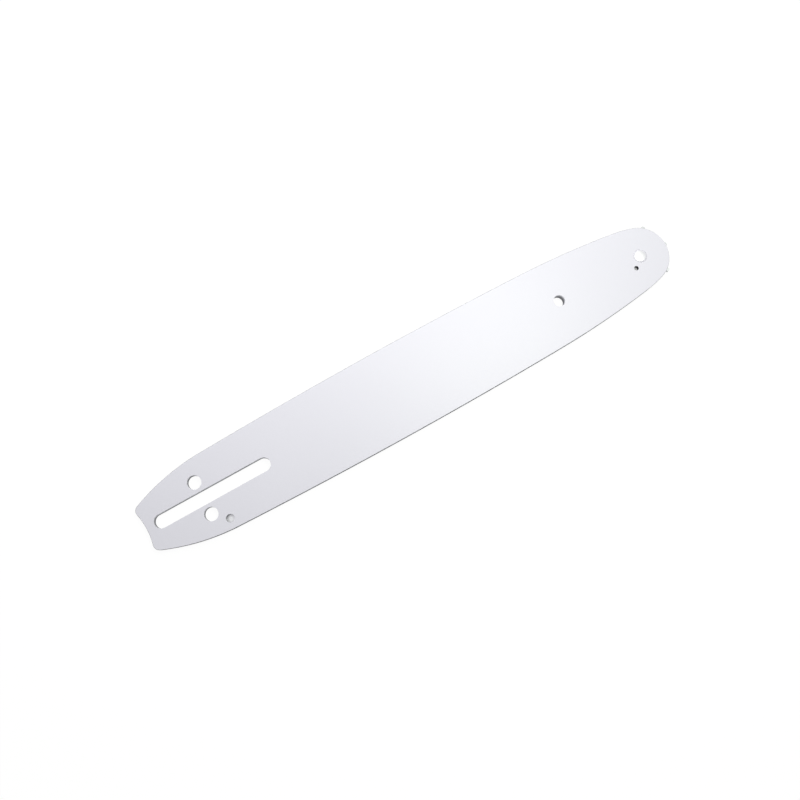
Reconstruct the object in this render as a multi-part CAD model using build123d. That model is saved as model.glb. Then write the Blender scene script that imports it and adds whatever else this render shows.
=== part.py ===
from build123d import *
import os
from math import asin, cos, floor, pi, radians, sin, sqrt

# Laminated chainsaw guide bar with a roller-bearing sprocket in its nose. Sizes are in millimetres.
# The bar lies flat: +X runs from the tail to the nose and +Z is up.
# The origin is on the lower face, at the centre of the stud slot's tail-end arc.

# Laminations
plate_thickness = 1.55
core_thickness = 1.4
groove_depth = 6.0
rail_chamfer = 0.25

# Outline of the side plates, one half of it
rivet_x = 325.8
nose_radius = 18.3
nose_sweep = 72.0
shoulder_back = 72.7
shoulder_share = 0.42
belly_x = 171.5
belly_half_width = 26.5
rail_radius = 3400.0
heel_x = 35.8
flank_radius = 124.5
tail_land = 9.0
tail_notch_radius = 43.0
tail_corner_radius = 3.8

# Stud slot and holes
slot_width = 8.2
slot_travel = 64.6
adjuster_x = 25.9
adjuster_half_spacing = 10.25
adjuster_diameter = 8.1
oil_hole_x = 34.0
oil_hole_offset = 17.6
oil_hole_diameter = 4.8
oil_channel_width = 5.0
tip_hole_back = 59.5
tip_hole_diameter = 7.0
grease_hole_radius = 8.4
grease_hole_angle = 221.0
grease_hole_diameter = 2.8

# Nose sprocket
tooth_count = 7
tooth_stand = 1.8
sprocket_turn = -2.0
root_radius = 12.5
gullet_radius = 7.7
tooth_tip_fillet = 0.6
sprocket_side_clearance = 0.1
sprocket_tip_clearance = 1.0

# Roller bearing
race_radius = 6.45
roller_diameter = 2.4
roller_gap = 0.05
roller_side_clearance = 0.12
bearing_clearance = 0.03

# Nose rivet
rivet_shank_diameter = 6.0
rivet_head_diameter = 8.2
rivet_head_flat = 7.1
rivet_head_depth = 0.8
rivet_head_stand = 0.45
rivet_rim_drop = 0.25
rivet_clearance = 0.02

# Levels and radii that follow from the sizes above
core_level = plate_thickness
front_level = plate_thickness + core_thickness
bar_thickness = 2 * plate_thickness + core_thickness
mid_level = bar_thickness / 2
tip_radius = nose_radius + tooth_stand
roller_pitch_radius = race_radius + bearing_clearance + roller_diameter / 2
sprocket_bore_radius = roller_pitch_radius + roller_diameter / 2 + bearing_clearance
roller_count = floor(pi / asin((roller_diameter + roller_gap) / (2 * roller_pitch_radius)))
shank_hole_radius = rivet_shank_diameter / 2 + rivet_clearance
head_seat_radius = rivet_head_diameter / 2 + rivet_clearance


def arc_point(center, radius, x):
    """The upper point of a circle at a given x."""
    return Vector(x, center.Y + sqrt(radius**2 - (x - center.X) ** 2))


def arc_between(center, radius, x_from, x_to):
    """The upper arc of a circle from one x to another."""
    stops = (x_from, (x_from + x_to) / 2, x_to)
    return ThreePointArc(*[arc_point(center, radius, x) for x in stops])


def arc_pair(start, heading, end, end_heading, share):
    """Two arcs in a row that leave one point and reach another along the given headings.

    The first arc's tangent is as long as the given share of the span.
    """
    span = end - start
    turn = 1 - heading.dot(end_heading)
    reach = share * span.length
    room = span.dot(span) - 2 * reach * span.dot(heading)
    end_reach = room / (2 * (span.dot(end_heading) + reach * turn))
    corner = start + heading * reach
    end_corner = end - end_heading * end_reach
    joint = corner + (end_corner - corner) * (reach / (reach + end_reach))
    first = TangentArc(start, joint, tangent=heading)
    return [first, TangentArc(joint, end, tangent=first % 1)]


def rail_outline():
    """The bar's outline with a plain tail: flank, long rail arc, shoulder arcs and nose arc, mirrored."""
    rail_center = Vector(belly_x, belly_half_width - rail_radius)
    heel = arc_point(rail_center, rail_radius, heel_x)
    flank_center = heel + (rail_center - heel).normalized() * flank_radius
    tail_x = -(tail_land + tail_notch_radius / 2)
    shoulder_x = rivet_x - shoulder_back

    flank = arc_between(flank_center, flank_radius, tail_x, heel_x)
    rail = arc_between(rail_center, rail_radius, heel_x, shoulder_x)
    nose = CenterArc((rivet_x, 0), nose_radius, 0, nose_sweep)

    # The shoulder leaves the rail and meets the nose arc along their tangents
    shoulder = arc_pair(rail @ 1, rail % 1, nose @ 1, -(nose % 1), shoulder_share)

    tail = Line((tail_x, 0), flank @ 0)
    half = Curve() + [tail, flank, rail, *shoulder, nose]
    return make_face(half.edges() + mirror(half, Plane.XZ).edges())


def plate_outline():
    """The side plates' outline, with the hollow tail end and its rounded corners."""
    notch_center = (-(tail_land + tail_notch_radius), 0)
    outline = rail_outline() - Pos(*notch_center) * Circle(tail_notch_radius)
    tail_corners = outline.vertices().sort_by(Axis.X)[:2]
    return fillet(tail_corners, tail_corner_radius)


def through_holes():
    """Stud slot, adjuster holes and tip-guard hole, which go through all three laminations."""
    slot = Pos(slot_travel / 2, 0) * SlotCenterToCenter(slot_travel, slot_width)
    adjusters = [
        Pos(adjuster_x, side * adjuster_half_spacing) * Circle(adjuster_diameter / 2) for side in (-1, 1)
    ]
    tip_hole = Pos(rivet_x - tip_hole_back, 0) * Circle(tip_hole_diameter / 2)
    return Sketch() + [slot, *adjusters, tip_hole]


def front_plate():
    """Upper side plate: full outline, oil hole, grease hole and the seat of the rivet's head."""
    nose = Pos(rivet_x, 0)
    grease_turn = radians(grease_hole_angle)
    grease_place = (grease_hole_radius * cos(grease_turn), grease_hole_radius * sin(grease_turn))
    oil_hole = Pos(oil_hole_x, -oil_hole_offset) * Circle(oil_hole_diameter / 2)
    grease_hole = nose * Pos(*grease_place) * Circle(grease_hole_diameter / 2)

    blank = Pos(0, 0, front_level) * extrude(plate_outline(), plate_thickness)
    rim = blank.faces().sort_by(Axis.Z)[-1].outer_wire().edges()
    blank = chamfer(rim, rail_chamfer)

    holes = through_holes() + [oil_hole, grease_hole, nose * Circle(shank_hole_radius)]
    seat = Pos(rivet_x, 0, bar_thickness) * extrude(Circle(head_seat_radius), -rivet_head_depth)
    return blank - Pos(0, 0, front_level) * extrude(holes, plate_thickness) - seat


def oil_channels():
    """Notches in the core, open to the groove, that lead the oil out from under both oil holes."""
    reach = oil_hole_offset + groove_depth / 2
    channel = SlotCenterToCenter(groove_depth, oil_channel_width, rotation=90)
    return Sketch() + [Pos(oil_hole_x, side * reach) * channel for side in (-1, 1)]


def core_plate():
    """Middle lamination: set back from the rails by the groove's depth and cut round the sprocket."""
    profile = offset(rail_outline(), -groove_depth) & plate_outline()
    pocket = Pos(rivet_x, 0) * Circle(tip_radius + sprocket_tip_clearance)
    profile -= through_holes() + oil_channels() + pocket
    return Pos(0, 0, core_level) * extrude(profile, core_thickness)


def nose_sprocket():
    """Star-shaped sprocket that carries the chain round the nose, with one tooth almost on the axis."""
    first_gullet = sprocket_turn + 180 / tooth_count
    gullets = PolarLocations(root_radius + gullet_radius, tooth_count, start_angle=first_gullet)
    star = Circle(tip_radius) - gullets * Circle(gullet_radius)
    star = fillet(star.vertices(), tooth_tip_fillet)
    ring = star - Circle(sprocket_bore_radius)
    level = core_level + sprocket_side_clearance
    return Pos(rivet_x, 0, level) * extrude(ring, core_thickness - 2 * sprocket_side_clearance)


def bearing_race():
    """Inner race, clamped between the side plates by the rivet."""
    ring = Circle(race_radius) - Circle(shank_hole_radius)
    return Pos(rivet_x, 0, core_level) * extrude(ring, core_thickness)


def bearing_roller(index):
    """One of the full set of rollers between the race and the sprocket."""
    turn = 2 * pi * index / roller_count
    place = Pos(
        rivet_x + roller_pitch_radius * cos(turn),
        roller_pitch_radius * sin(turn),
        core_level + roller_side_clearance,
    )
    return place * extrude(Circle(roller_diameter / 2), core_thickness - 2 * roller_side_clearance)


def nose_rivet():
    """Rivet whose upper head stands a little proud; the lower one is flush, so that the bar lies flat."""
    shank = rivet_shank_diameter / 2
    head = rivet_head_diameter / 2
    flat = rivet_head_flat / 2
    half = Polyline(
        (0, 0),
        (flat, 0),
        (head, rivet_rim_drop),
        (head, rivet_head_depth),
        (shank, rivet_head_depth),
        (shank, bar_thickness - rivet_head_depth),
        (head, bar_thickness - rivet_head_depth),
        (head, bar_thickness),
        (flat, bar_thickness + rivet_head_stand),
        (0, bar_thickness + rivet_head_stand),
        close=True,
    )
    return Pos(rivet_x, 0) * revolve(Plane.XZ * make_face(half), Axis.Z)


nodes = {
    "front_plate": front_plate(),
    "core_plate": core_plate(),
    "back_plate": front_plate().rotate(Axis((0, 0, mid_level), (1, 0, 0)), 180),
    "nose_sprocket": nose_sprocket(),
    "bearing_race": bearing_race(),
    "nose_rivet": nose_rivet(),
}
for index in range(roller_count):
    nodes[f"bearing_roller_{index + 1:02d}"] = bearing_roller(index)

os.makedirs("parts", exist_ok=True)
for name, solid in nodes.items():
    export_step(solid, f"parts/{name}.step")
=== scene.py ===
import math

import bmesh
import bpy
from mathutils import Matrix, Vector


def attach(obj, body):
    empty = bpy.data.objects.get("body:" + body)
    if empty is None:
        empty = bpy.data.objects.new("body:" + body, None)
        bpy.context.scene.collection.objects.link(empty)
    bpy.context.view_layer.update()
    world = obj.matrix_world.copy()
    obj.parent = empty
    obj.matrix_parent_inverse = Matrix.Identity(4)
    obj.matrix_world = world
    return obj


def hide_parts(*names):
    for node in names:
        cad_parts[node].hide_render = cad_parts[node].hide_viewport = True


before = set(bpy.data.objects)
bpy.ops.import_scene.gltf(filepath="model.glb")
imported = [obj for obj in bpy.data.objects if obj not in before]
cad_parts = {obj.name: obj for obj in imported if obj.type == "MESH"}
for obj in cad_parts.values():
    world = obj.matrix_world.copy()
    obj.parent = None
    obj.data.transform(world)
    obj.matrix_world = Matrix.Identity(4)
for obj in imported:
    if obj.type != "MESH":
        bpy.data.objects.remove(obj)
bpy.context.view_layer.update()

# Core plate
# The middle lamination, cut from rolled steel strip and left bare, with a film of oil. It is spot-welded
# between the two side plates, and its edge shows in the chain groove and in the holes.
mm = 0.001


def linear(colour):
    """An sRGB hex colour as the linear values that a shader takes."""
    shares = [int(colour[i : i + 2], 16) / 255 for i in (1, 3, 5)]
    return [s / 12.92 if s <= 0.04045 else ((s + 0.055) / 1.055) ** 2.4 for s in shares] + [1.0]


def add(tree, kind, inputs=None, **settings):
    """Add one shader node with its settings; an input is a plain value or a socket to link."""
    made = tree.nodes.new("ShaderNode" + kind)
    for name, value in settings.items():
        setattr(made, name, value)
    for name, value in (inputs or {}).items():
        if isinstance(value, bpy.types.NodeSocket):
            tree.links.new(value, made.inputs[name])
        else:
            made.inputs[name].default_value = value
    return made


def empty_material(name):
    """A material with no nodes yet, and its node tree."""
    material = bpy.data.materials.new(name)
    material.use_nodes = True
    material.node_tree.nodes.clear()
    return material, material.node_tree


def bare_steel(name, dark, light, roughness, grain):
    """Steel with the lines that its making left; grain is a line's size in mm along X, Y and Z."""
    cloud_size = 7.0
    line_depth = 0.004
    gloss_spread = 0.1
    material, tree = empty_material(name)
    place = add(tree, "TexCoord").outputs["Object"]
    drawn = add(tree, "Mapping", {"Vector": place, "Scale": [1 / (g * mm) for g in grain]})
    lines = add(
        tree,
        "TexNoise",
        {"Vector": drawn.outputs[0], "Scale": 1.0, "Detail": 3.0, "Roughness": 0.6},
    )
    clouds = add(tree, "TexNoise", {"Vector": place, "Scale": 1 / (cloud_size * mm), "Detail": 2.0})
    both = add(tree, "Math", {0: lines.outputs[0], 1: clouds.outputs[0]}, operation="ADD")
    share = add(tree, "MapRange", {"Value": both.outputs[0], "From Min": 0.7, "From Max": 1.3})
    tone = add(
        tree,
        "MixRGB",
        {"Fac": share.outputs[0], "Color1": linear(dark), "Color2": linear(light)},
    )
    gloss = add(
        tree,
        "MapRange",
        {
            "Value": lines.outputs[0],
            "To Min": roughness - gloss_spread,
            "To Max": roughness + gloss_spread,
        },
    )
    bump = add(tree, "Bump", {"Height": lines.outputs[0], "Strength": 0.6, "Distance": line_depth * mm})
    steel = add(
        tree,
        "BsdfPrincipled",
        {
            "Base Color": tone.outputs[0],
            "Metallic": 1.0,
            "Roughness": gloss.outputs[0],
            "Normal": bump.outputs[0],
        },
    )
    add(tree, "OutputMaterial", {"Surface": steel.outputs[0]})
    return material


def dress(node, material):
    """Give a carried-over solid its material."""
    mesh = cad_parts[node].data
    mesh.materials.clear()
    mesh.materials.append(material)


# Oiled strip steel: a dark, half-dull grey with faint rolling lines along the bar.
core_steel = bare_steel("oiled_strip_steel", "#6c6c72", "#84848a", 0.42, (9.0, 0.5, 0.5))
dress("core_plate", core_steel)

# Roller bearing
# A full set of hardened rollers between the inner race, which the rivet clamps between the side plates,
# and the sprocket's bore. Race and rollers are ground and polished, with a film of grease.

# Polished bearing steel: bright and glossy, with fine lines along the rollers' axes.
bearing_steel = bare_steel("polished_bearing_steel", "#b4b4b6", "#d6d6d8", 0.22, (0.4, 0.4, 3.0))
dress("bearing_race", bearing_steel)
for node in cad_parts:
    if node.startswith("bearing_roller"):
        dress(node, bearing_steel)

# Nose sprocket
# A seven-tooth star, stamped from hardened steel and ground flat on both sides. It turns on the rollers
# in the chain groove, and its tooth tips stand just out of the nose.

# Ground sprocket steel: a light grey with a soft gloss, and grinding lines across the bar.
sprocket_steel = bare_steel("ground_sprocket_steel", "#a6a7aa", "#c6c7ca", 0.32, (0.35, 6.0, 6.0))
dress("nose_sprocket", sprocket_steel)

# Side plates
# Two alike plates, punched from hardened steel sheet, sprayed with satin off-white paint and spot-welded
# to the core. The rails are ground after painting, which bares the outer edge, and the walls of the
# holes took no paint.
plate_thickness = 1.55
bar_thickness = 4.5
plate_low = bar_thickness - plate_thickness
plate_top = bar_thickness

# The outline: nose, shoulder, long rail, flank and hollow tail
rivet_x = 325.8
nose_radius = 18.3
nose_sweep = 72.0
shoulder_x = 253.1
shoulder_share = 0.42
belly_x = 171.5
belly_half_width = 26.5
rail_radius = 3400.0
heel_x = 35.8
flank_radius = 124.5
tail_land = 9.0
tail_notch_radius = 43.0
tail_corner_radius = 3.8

# The rails' round, which is bare where its normal rises less than bared_tilt
rail_edge = 0.25
rail_edge_segments = 4
bared_tilt = 0.9

# The stud slot, the x, y and radius of each hole (two for the adjuster, then tip guard, oil and grease)
# and the steps of a full turn
slot_width = 8.2
slot_travel = 64.6
punched_holes = [(25.9, 10.25, 4.05), (25.9, -10.25, 4.05), (266.3, 0.0, 3.5)]
drilled_holes = [(34.0, -17.6, 2.4), (rivet_x - 6.34, -5.51, 1.4)]
hole_segments = 96

# The rolled edge of the slot and holes, and the inset and drop of each of its steps
hole_edge = 0.1
rolled_steps = [(0.07, 0.02), (0.03, 0.08)]

# The seat of the rivet's head
seat_radius = 4.12
seat_depth = 0.8
shank_hole_radius = 3.02

# Points closer than same_point are one, and a face whose normal rises above level_normal is level
same_point = 1e-4
level_normal = 0.9999

# A plate's finishes, in the order of its material slots
painted, ground, punched, inner, stained_shaded = range(5)


def carry_round(bm, vert, center, angle, steps):
    """Carry a vertex round an upright axis, with edges left behind it; gives the vertex at the end."""
    arc = bmesh.ops.spin(bm, geom=[vert], cent=center, axis=(0, 0, 1), angle=angle, steps=steps)
    return next(v for v in arc["geom_last"] if isinstance(v, bmesh.types.BMVert))


def turn_to(bm, end, center, stop, steps):
    """Carry the outline's free end round a centre until it lies in the direction of stop."""
    start = (end.co - center).to_2d()
    angle = start.angle_signed((stop - center).to_2d())
    return carry_round(bm, end, center, -angle, steps)


def circles_meet(first, first_radius, second, second_radius):
    """The upper point that two circles share."""
    span = second - first
    along = (first_radius**2 - second_radius**2 + span.length_squared) / (2 * span.length)
    rise = math.sqrt(first_radius**2 - along**2)
    ahead = span.normalized()
    aside = Vector((-ahead.y, ahead.x, 0))
    return max((first + ahead * along + aside * s for s in (rise, -rise)), key=lambda p: p.y)


def center_of(start, way, stop):
    """The centre of the arc that leaves a point along a way and reaches another."""
    chord = stop - start
    aside = Vector((-way.y, way.x, 0))
    return start + aside * chord.length_squared / (2 * chord.dot(aside))


def half_outline(bm):
    """Half the outline, as arcs in a row from the hollow of the tail to the tip of the nose."""
    rail_center = Vector((belly_x, belly_half_width - rail_radius, plate_low))

    def rail_at(x):
        """The rail's point at a given x."""
        return rail_center + Vector((x - belly_x, math.sqrt(rail_radius**2 - (x - belly_x) ** 2), 0))

    heel = rail_at(heel_x)
    shoulder = rail_at(shoulder_x)
    flank_center = heel + (rail_center - heel).normalized() * flank_radius
    notch_center = Vector((-(tail_land + tail_notch_radius), 0, plate_low))
    corner_center = circles_meet(
        notch_center,
        tail_notch_radius + tail_corner_radius,
        flank_center,
        flank_radius - tail_corner_radius,
    )
    nose_center = Vector((rivet_x, 0, plate_low))
    sweep = math.radians(nose_sweep)
    nose_start = nose_center + Vector((math.cos(sweep), math.sin(sweep), 0)) * nose_radius

    # The shoulder is two arcs that leave the rail and meet the nose along their tangents
    heading = Vector((shoulder.y - rail_center.y, rail_center.x - shoulder.x, 0)).normalized()
    end_heading = Vector((math.sin(sweep), -math.cos(sweep), 0))
    span = nose_start - shoulder
    bend = 1 - heading.dot(end_heading)
    reach = shoulder_share * span.length
    room = span.length_squared - 2 * reach * span.dot(heading)
    end_reach = room / (2 * (span.dot(end_heading) + reach * bend))
    corner = shoulder + heading * reach
    end_corner = nose_start - end_heading * end_reach
    joint = corner.lerp(end_corner, reach / (reach + end_reach))

    # Each arc's centre, stop and steps, which turn by less than 3 degrees each
    arcs = [
        (notch_center, corner_center, 24),
        (corner_center, corner_center + (corner_center - flank_center), 28),
        (flank_center, heel, 32),
        (rail_center, shoulder, 48),
        (center_of(shoulder, heading, joint), joint, 20),
        (center_of(nose_start, -end_heading, joint), nose_start, 20),
        (nose_center, nose_center + Vector((1, 0, 0)), 48),
    ]
    end = bmesh.ops.create_vert(bm, co=(-tail_land, 0, plate_low))["vert"][0]
    for center, stop, steps in arcs:
        end = turn_to(bm, end, center, stop, steps)


def raise_rails(bm):
    """Raise the outline to the rails' wall, round its painted edge and leave both faces open."""
    blank = bmesh.ops.contextual_create(bm, geom=bm.edges[:])["faces"][0]
    if blank.normal.z > 0:
        blank.normal_flip()
    grown = bmesh.ops.extrude_face_region(bm, geom=[blank])["geom"]
    face = next(f for f in grown if isinstance(f, bmesh.types.BMFace))
    bmesh.ops.translate(bm, vec=(0, 0, plate_thickness), verts=face.verts)
    bmesh.ops.bevel(
        bm,
        geom=face.edges[:],
        offset=rail_edge,
        affect="EDGES",
        segments=rail_edge_segments,
        profile=0.5,
        material=-1,
    )
    flats = [f for f in bm.faces if abs(f.normal.z) > level_normal]
    bmesh.ops.delete(bm, geom=flats, context="FACES_ONLY")
    for f in bm.faces:
        f.material_index = ground if abs(f.normal.z) < bared_tilt else painted


def round_disc(bm, x, y, radius):
    """A flat disc at the painted face, facing up."""
    middle = Matrix.Translation((x, y, plate_top))
    made = bmesh.ops.create_circle(
        bm, cap_ends=True, radius=radius, segments=hole_segments, matrix=middle
    )
    disc = made["verts"][0].link_faces[0]
    if disc.normal.z < 0:
        disc.normal_flip()
    return disc


def slot_disc(bm):
    """The stud slot's flat, with its rolled edge, facing up."""
    half = slot_width / 2 + hole_edge
    first = bmesh.ops.create_vert(bm, co=(0, half, plate_top))["vert"][0]
    turned = carry_round(bm, first, (0, 0, plate_top), math.pi, hole_segments // 2)
    run_out = bmesh.ops.extrude_vert_indiv(bm, verts=[turned])["verts"][0]
    bmesh.ops.translate(bm, vec=(slot_travel, 0, 0), verts=[run_out])
    last = carry_round(bm, run_out, (slot_travel, 0, plate_top), math.pi, hole_segments // 2)
    bm.edges.new((last, first))
    loose = [e for e in bm.edges if not e.link_faces]
    slot = bmesh.ops.contextual_create(bm, geom=loose)["faces"][0]
    if slot.normal.z < 0:
        slot.normal_flip()
    return slot


def sink(bm, disc, steps):
    """Inset and lower a disc step by step: each step is an inset and a drop."""
    for inset, drop in steps:
        if inset:
            bmesh.ops.inset_individual(
                bm, faces=[disc], thickness=inset, depth=-drop, use_even_offset=True
            )
        else:
            grown = bmesh.ops.extrude_face_region(bm, geom=[disc])["geom"]
            bmesh.ops.delete(bm, geom=[disc], context="FACES_ONLY")
            disc = next(f for f in grown if isinstance(f, bmesh.types.BMFace))
            bmesh.ops.translate(bm, vec=(0, 0, -drop), verts=disc.verts)
    return disc


def sink_holes(bm):
    """The slot and holes, with a painted, slightly rolled edge and a bare wall, and the rivet's seat."""
    before = set(bm.faces)
    holes = punched_holes + drilled_holes
    discs = [round_disc(bm, x, y, r + hole_edge) for x, y, r in holes]
    discs.append(slot_disc(bm))
    wall_steps = rolled_steps + [(0, plate_thickness - hole_edge)]
    bottoms = [sink(bm, disc, wall_steps) for disc in discs]
    seat = sink(bm, round_disc(bm, rivet_x, 0, seat_radius), [(0, seat_depth)])
    bmesh.ops.inset_individual(bm, faces=[seat], thickness=seat_radius - shank_hole_radius)
    bottoms.append(sink(bm, seat, [(0, plate_thickness - seat_depth)]))
    bmesh.ops.delete(bm, geom=bottoms, context="FACES_ONLY")
    for f in set(bm.faces) - before:
        middle = f.calc_center_median()
        drilled = any(math.hypot(middle.x - x, middle.y - y) < r for x, y, r in drilled_holes)
        # Drilled holes take the dark steel, which is partly oil stain and partly painted shade
        wall = stained_shaded if drilled else punched
        f.material_index = wall if middle.z < plate_top - hole_edge else painted


def rim_of(bm, z):
    """The edges at one level that have a face on one side only."""
    rims = [e for e in bm.edges if len(e.link_faces) == 1]
    return [e for e in rims if all(abs(v.co.z - z) < same_point for v in e.verts)]


def plate_mesh():
    """The upper side plate in mm: rails and holes, with its two faces filled in between their rims."""
    bm = bmesh.new()
    half_outline(bm)
    bmesh.ops.mirror(bm, geom=bm.verts[:] + bm.edges[:], axis="Y", merge_dist=same_point)
    bmesh.ops.remove_doubles(bm, verts=bm.verts, dist=same_point)
    raise_rails(bm)
    sink_holes(bm)
    for z, facing, finish in ((plate_top, 1, painted), (plate_low, -1, inner)):
        rims = rim_of(bm, z)
        filled = bmesh.ops.triangle_fill(bm, edges=rims, use_beauty=True, normal=(0, 0, facing))
        for f in filled["geom"]:
            if isinstance(f, bmesh.types.BMFace):
                f.material_index = finish
                if f.normal.z * facing < 0:
                    f.normal_flip()
    return bm


def finish_piece(bm, name, materials, turn):
    """Bring a mesh in mm to its place in metres, shade it and make it an object.

    Curved walls shade smoothly. Level faces stay flat, and edges that turn by more than the crisp angle,
    in degrees, stay sharp.
    """
    crisp_angle = 12
    bmesh.ops.transform(bm, matrix=Matrix.Scale(mm, 4) @ turn, verts=bm.verts)
    bm.normal_update()
    for f in bm.faces:
        f.smooth = abs(f.normal.z) < level_normal
    mesh = bpy.data.meshes.new(name)
    bm.to_mesh(mesh)
    bm.free()
    mesh.set_sharp_from_angle(angle=math.radians(crisp_angle))
    for material in materials:
        mesh.materials.append(material)
    piece = bpy.data.objects.new(name, mesh)
    bpy.context.scene.collection.objects.link(piece)
    return piece


# Satin sprayed paint: an even, slightly cool off-white with a soft, broad highlight. Its tone drifts a
# little along the bar, and its orange peel is about 1 mm across and very shallow.
drift_size = 45
peel_size = 1.1
peel_depth = 0.004
paint, tree = empty_material("satin_off_white_paint")
place = add(tree, "TexCoord").outputs["Object"]
drift = add(tree, "TexNoise", {"Vector": place, "Scale": 1 / (drift_size * mm), "Detail": 1.0})
peel = add(tree, "TexNoise", {"Vector": place, "Scale": 1 / (peel_size * mm), "Detail": 2.0})
tone = add(
    tree,
    "MixRGB",
    {"Fac": drift.outputs[0], "Color1": linear("#dedce7"), "Color2": linear("#e0dee9")},
)
gloss = add(tree, "MapRange", {"Value": peel.outputs[0], "To Min": 0.38, "To Max": 0.46})
bump = add(tree, "Bump", {"Height": peel.outputs[0], "Strength": 0.25, "Distance": peel_depth * mm})
coat = add(
    tree,
    "BsdfPrincipled",
    {
        "Base Color": tone.outputs[0],
        "Roughness": gloss.outputs[0],
        "IOR": 1.5,
        "Normal": bump.outputs[0],
    },
)
add(tree, "OutputMaterial", {"Surface": coat.outputs[0]})

# Ground rail steel: a dark, half-dull grey. The rails are ground along their length, so the lines follow
# the edge all round and change mostly with height.
rail_steel = bare_steel("ground_rail_steel", "#545458", "#76767a", 0.38, (6.0, 6.0, 0.16))

# Wall steels, with fine lines through the thickness. The holes are punched from above, so the upper
# plate's walls are burnished and the lower one's torn and dull. The upper ones are also painted lighter
# and the lower ones darker, as painted shade deep in the holes. The oil and grease holes are drilled,
# and their walls are darker still: partly oil stain and partly painted shade.
burnished_lit_steel = bare_steel("burnished_lit_wall_steel", "#b4b4ba", "#c6c6cc", 0.4, (0.4, 0.4, 4.0))
torn_shaded_steel = bare_steel("torn_shaded_wall_steel", "#7c7c82", "#909096", 0.5, (0.4, 0.4, 4.0))
stained_shaded_steel = bare_steel("stained_shaded_wall_steel", "#38383d", "#4a4a4f", 0.5, (0.4, 0.4, 4.0))

# Inner steel: the unpainted faces against the core, bright, with faint rolling lines along the bar.
inner_steel = bare_steel("bright_inner_steel", "#c6c6ca", "#d8d8dc", 0.36, (9.0, 0.5, 0.5))

turn_over = Matrix.Translation((0, 0, bar_thickness)) @ Matrix.Rotation(math.pi, 4, "X")
# The lower plate's wall steel is the darker one: painted shade deep in the holes
for name, node, turn, wall_steel in (
    ("upper_side_plate", "front_plate", Matrix.Identity(4), burnished_lit_steel),
    ("lower_side_plate", "back_plate", turn_over, torn_shaded_steel),
):
    finishes = [paint, rail_steel, wall_steel, inner_steel, stained_shaded_steel]
    plate = finish_piece(plate_mesh(), name, finishes, turn)
    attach(plate, "bar")
    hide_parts(node)

# Nose rivet
# A steel rivet that holds the bearing between the side plates. Its upper head was pressed into a seat,
# with a hairline gap round it, and stands a little proud: the rim took paint, and the shallow crown was
# faced bright. The lower head is flush.
rivet_shank = 3.0
rivet_head = 4.1
rivet_flat = 3.55
rivet_head_depth = 0.8
rivet_head_stand = 0.45
rivet_rim_drop = 0.25
rim_round = 0.16
rim_segments = 4
hairline = 0.045
faced_radius = 3.25
crown_drop = 0.2
crown_shares = (1, 0.75, 0.5, 0.25, 0)
paint_line = 3.3

# The rivet's finishes, in the order of its material slots
faced, painted_rim = range(2)

rivet_bm = bmesh.new()
upper_seat = bar_thickness - rivet_head_depth
upper_head = rivet_head - hairline
crown_top = bar_thickness + rivet_head_stand
lower_half = [
    (0, 0),
    (rivet_flat, 0),
    (rivet_head, rivet_rim_drop),
    (rivet_head, rivet_head_depth),
    (rivet_shank, rivet_head_depth),
]
upper_half = [(rivet_shank, upper_seat), (upper_head, upper_seat), (upper_head, bar_thickness)]
crown = [(faced_radius * share, crown_top - crown_drop * share**2) for share in crown_shares]
profile = lower_half + upper_half + crown
points = [bmesh.ops.create_vert(rivet_bm, co=(r, 0, z))["vert"][0] for r, z in profile]
for a, b in zip(points, points[1:]):
    rivet_bm.edges.new((a, b))
rims = [points[profile.index((rivet_flat, 0))], points[profile.index(crown[0])]]
bmesh.ops.bevel(
    rivet_bm,
    geom=rims,
    offset=rim_round,
    affect="VERTICES",
    segments=rim_segments,
    profile=0.5,
    material=-1,
)
bmesh.ops.spin(
    rivet_bm,
    geom=rivet_bm.verts[:] + rivet_bm.edges[:],
    cent=(0, 0, 0),
    axis=(0, 0, 1),
    angle=2 * math.pi,
    steps=hole_segments,
    use_merge=True,
)
bmesh.ops.remove_doubles(rivet_bm, verts=rivet_bm.verts, dist=same_point)
bmesh.ops.recalc_face_normals(rivet_bm, faces=rivet_bm.faces)
for f in rivet_bm.faces:
    out = f.calc_center_median().to_2d().length
    f.material_index = painted_rim if out > paint_line else faced

# Faced steel: bright, with fine turning rings round the rivet's axis. They are drawn 0.3 mm apart, which
# is coarser than they are, so that they show. At a scale of 1 the wave texture repeats every 0.314.
ring_spacing = 0.3
ring_depth = 0.004
wave_repeat = 0.314
rivet_steel, tree = empty_material("faced_rivet_steel")
place = add(tree, "TexCoord").outputs["Object"]
centred = add(tree, "Mapping", {"Vector": place, "Location": (-rivet_x * mm, 0, 0)})
rings = add(
    tree,
    "TexWave",
    {
        "Vector": centred.outputs[0],
        "Scale": wave_repeat / (ring_spacing * mm),
        "Distortion": 0.6,
        "Detail": 1.0,
    },
    wave_type="RINGS",
    rings_direction="Z",
)
tone = add(
    tree,
    "MixRGB",
    {"Fac": rings.outputs["Fac"], "Color1": linear("#cccccf"), "Color2": linear("#d6d6d9")},
)
gloss = add(tree, "MapRange", {"Value": rings.outputs["Fac"], "To Min": 0.3, "To Max": 0.4})
bump = add(
    tree,
    "Bump",
    {"Height": rings.outputs["Fac"], "Strength": 0.3, "Distance": ring_depth * mm},
)
steel = add(
    tree,
    "BsdfPrincipled",
    {
        "Base Color": tone.outputs[0],
        "Metallic": 1.0,
        "Roughness": gloss.outputs[0],
        "Normal": bump.outputs[0],
    },
)
add(tree, "OutputMaterial", {"Surface": steel.outputs[0]})

rivet_place = Matrix.Translation((rivet_x, 0, 0))
rivet = finish_piece(rivet_bm, "nose_rivet_faced", [rivet_steel, paint], rivet_place)
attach(rivet, "bar")
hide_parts("nose_rivet")

# Floor and background
# A white studio table under a white room. The table's own light makes it white to the camera and, in
# part, to mirror and glass rays. The rest of it is matt and takes the bar's shadow.
floor_size = 6000
floor_drop = 0.05
own_light = 0.93
mirror_light = 0.45
glow_strength = 1.03

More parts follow.
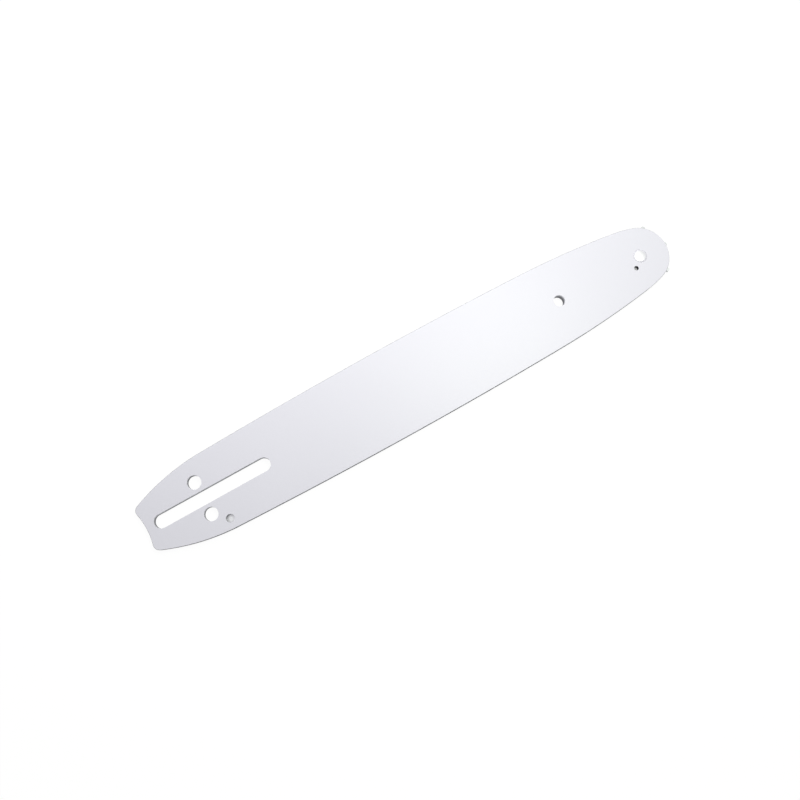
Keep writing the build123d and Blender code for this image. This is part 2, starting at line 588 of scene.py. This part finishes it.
floor_bm = bmesh.new()
bmesh.ops.create_grid(floor_bm, x_segments=1, y_segments=1, size=floor_size / 2)
white_table, tree = empty_material("white_table")
path = add(tree, "LightPath")
indirect = add(
    tree,
    "Math",
    {0: path.outputs["Is Glossy Ray"], 1: path.outputs["Is Transmission Ray"]},
    operation="ADD",
)
mirrored = add(tree, "Math", {0: indirect.outputs[0], 1: mirror_light}, operation="MULTIPLY")
share = add(
    tree,
    "Math",
    {0: path.outputs["Is Camera Ray"], 1: own_light, 2: mirrored.outputs[0]},
    operation="MULTIPLY_ADD",
)
matt = add(tree, "BsdfDiffuse", {"Color": linear("#f2f2f2")})
glow = add(tree, "Emission", {"Color": linear("#ffffff"), "Strength": glow_strength})
mixed = add(tree, "MixShader", {0: share.outputs[0], 1: matt.outputs[0], 2: glow.outputs[0]})
add(tree, "OutputMaterial", {"Surface": mixed.outputs[0]})
floor_place = Matrix.Translation((0, 0, -floor_drop))
floor = finish_piece(floor_bm, "studio_table", [white_table], floor_place)

# The room is white to camera, mirror and glass rays, and lights the bar at a plain level
room_light = 0.31
world = bpy.data.worlds.new("studio_room")
bpy.context.scene.world = world
world.use_nodes = True
tree = world.node_tree
tree.nodes.clear()
path = add(tree, "LightPath")
room = add(tree, "Background", {"Color": linear("#ffffff"), "Strength": room_light})
backdrop = add(tree, "Background", {"Color": linear("#ffffff"), "Strength": 1.0})
seen = add(
    tree,
    "Math",
    {0: path.outputs["Is Camera Ray"], 1: path.outputs["Is Glossy Ray"]},
    operation="ADD",
)
seen = add(
    tree,
    "Math",
    {0: seen.outputs[0], 1: path.outputs["Is Transmission Ray"]},
    operation="ADD",
    use_clamp=True,
)
mixed = add(tree, "MixShader", {0: seen.outputs[0], 1: room.outputs[0], 2: backdrop.outputs[0]})
add(tree, "OutputWorld", {"Surface": mixed.outputs[0]})

# Lamps
# A softbox above the nose, whose mirror image is the broad bright patch on the bar's middle, and a
# larger, lower one beyond the upper edge, which makes that edge lighter than the other. Each has its
# place, aim and side in mm, and its power in watts.
for name, place, aim, side, power, tint in (
    ("nose_softbox", (442, 60, 700), (150, 0, 0), 200, 2.57, (0.95, 1.0, 0.88)),
    ("edge_softbox", (195, 260, 260), (120, 0, 0), 450, 1.0, (1.0, 1.0, 1.0)),
):
    softbox = bpy.data.lights.new(name, "AREA")
    softbox.shape = "SQUARE"
    softbox.size = side * mm
    softbox.energy = power
    softbox.color = tint
    lamp = bpy.data.objects.new(name, softbox)
    lamp.location = Vector(place) * mm
    lamp.rotation_euler = (Vector(aim) - Vector(place)).to_track_quat("-Z", "Y").to_euler()
    lamp.visible_camera = False
    bpy.context.scene.collection.objects.link(lamp)

# Camera
# It looks down on the bar from the tail's side, nine degrees off plumb, with the bar rising to the
# right. Its place and lens are fitted to the slot, the holes and the nose, and its shift is the
# photograph's off-centre crop.
eye = Vector((82.5, -63.84, 410.0)) * mm
aim = Vector((131.393, -22.642, bar_thickness)) * mm
bar_rise = math.radians(29.344)
camera_data = bpy.data.cameras.new("camera")
camera_data.sensor_width = 36.0
camera_data.lens = 31.944
camera_data.shift_x = 0.0192
camera_data.shift_y = 0.05219
camera = bpy.data.objects.new("camera", camera_data)
ahead = (aim - eye).normalized()
bar_way = Vector((1, 0, 0))
bar_way = (bar_way - ahead * bar_way.dot(ahead)).normalized()
right = Matrix.Rotation(bar_rise, 3, ahead) @ bar_way
up = right.cross(ahead)
camera.matrix_world = Matrix((right, up, -ahead)).transposed().to_4x4()
camera.location = eye
bpy.context.scene.collection.objects.link(camera)
bpy.context.scene.camera = camera

bpy.context.scene.view_settings.view_transform = "Standard"
